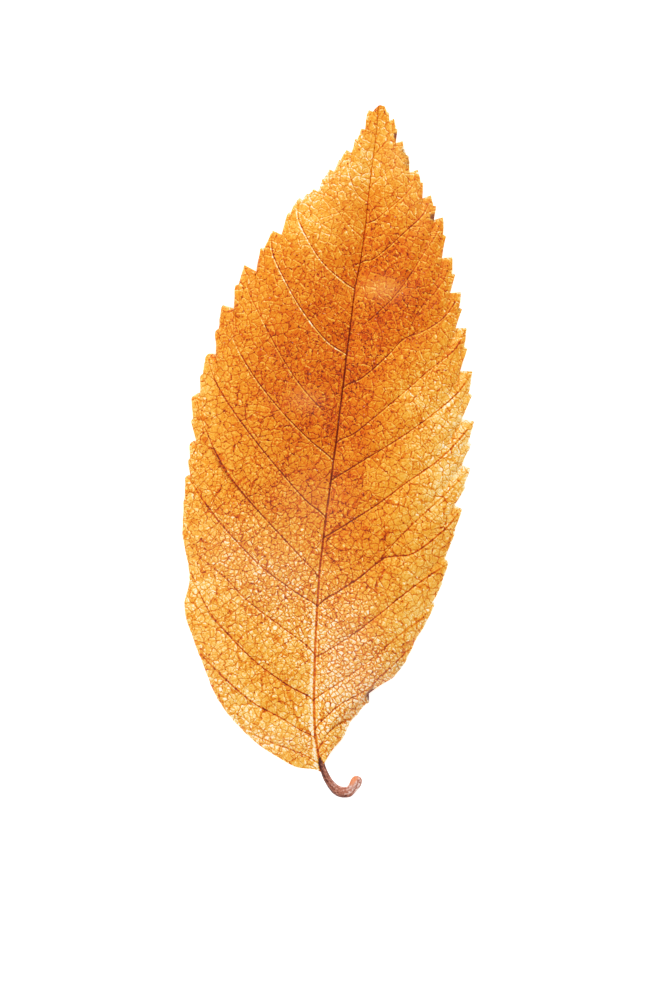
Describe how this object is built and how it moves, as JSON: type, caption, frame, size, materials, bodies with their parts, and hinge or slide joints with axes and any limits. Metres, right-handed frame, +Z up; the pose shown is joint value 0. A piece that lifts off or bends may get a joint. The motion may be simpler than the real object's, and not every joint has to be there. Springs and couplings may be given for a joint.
{
  "type": "autumn leaf",
  "caption": "Dry golden-orange elm leaf lying flat, right side up, with a toothed margin, sunken veins and a short hooked stalk.",
  "frame": {"origin": "on the surface the leaf lies on, below the centre of its outline's bounding box", "axes": "+Y along the midrib from the stalk to the tip, +Z up from the leaf's upper side, +X to the right seen from above with the tip away"},
  "size_m": [0.0386, 0.0942, 0.005],
  "materials": {
    "leaf": "dry leaf skin with a soft sheen, golden orange, dark purple-brown on the stalk"
  },
  "bodies": {
    "root": {"leaf": "leaf"}
  },
  "joints": []
}
